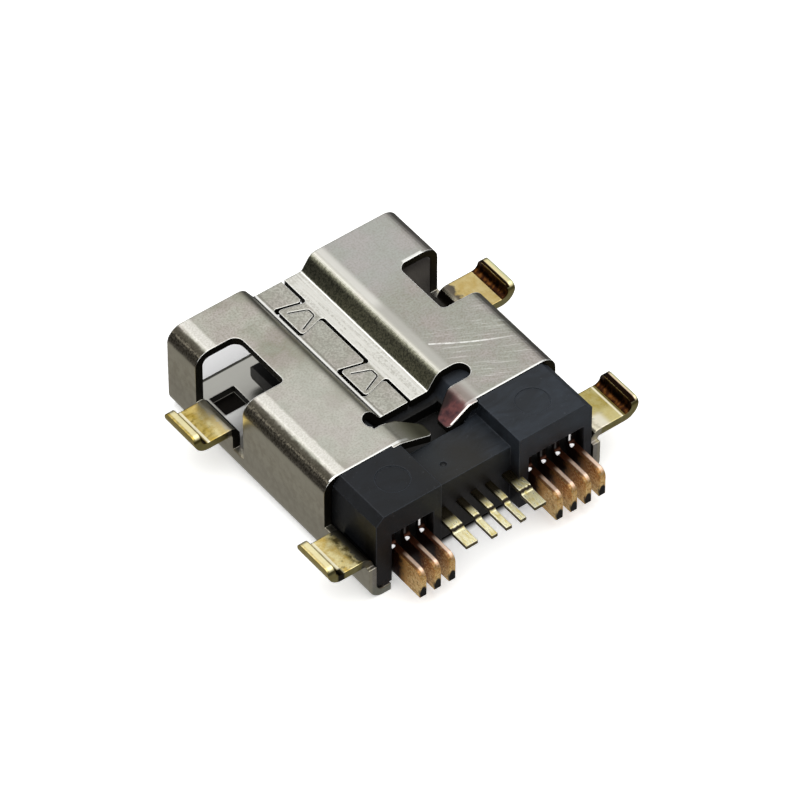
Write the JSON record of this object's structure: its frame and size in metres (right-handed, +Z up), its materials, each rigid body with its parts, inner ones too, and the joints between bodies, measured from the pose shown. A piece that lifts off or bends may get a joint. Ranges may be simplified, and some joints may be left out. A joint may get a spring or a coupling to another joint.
{
  "type": "charging port connector",
  "caption": "Board-mounted charging port with a folded steel shell, channelled top, bent solder legs, moulded housing and rows of tails at the rear.",
  "frame": {"origin": "middle of the front edge of the shell's underside, on the plane that the part rests on", "axes": "+Z up, -Y out of the mouth towards the plug, +X towards the side with three side contacts"},
  "size_m": [0.0108, 0.0105, 0.003],
  "materials": {
    "shell_steel": "satin nickel plating over stainless sheet, pale gold on the legs",
    "housing_plastic": "black liquid crystal polymer, injection moulded, matte",
    "gold_contacts": "pale gold plating over phosphor bronze strip",
    "copper_contacts": "copper alloy plate with pale gold edges"
  },
  "bodies": {
    "root": {"shell": "shell_steel", "housing": "housing_plastic", "usb_contact_1": "gold_contacts", "usb_contact_2": "gold_contacts", "usb_contact_3": "gold_contacts", "usb_contact_4": "gold_contacts", "usb_contact_5": "gold_contacts", "side_contact_1": "copper_contacts", "side_contact_2": "copper_contacts", "side_contact_3": "copper_contacts", "side_contact_4": "copper_contacts", "side_contact_5": "copper_contacts", "side_contact_6": "copper_contacts", "side_contact_7": "copper_contacts"}
  },
  "joints": []
}
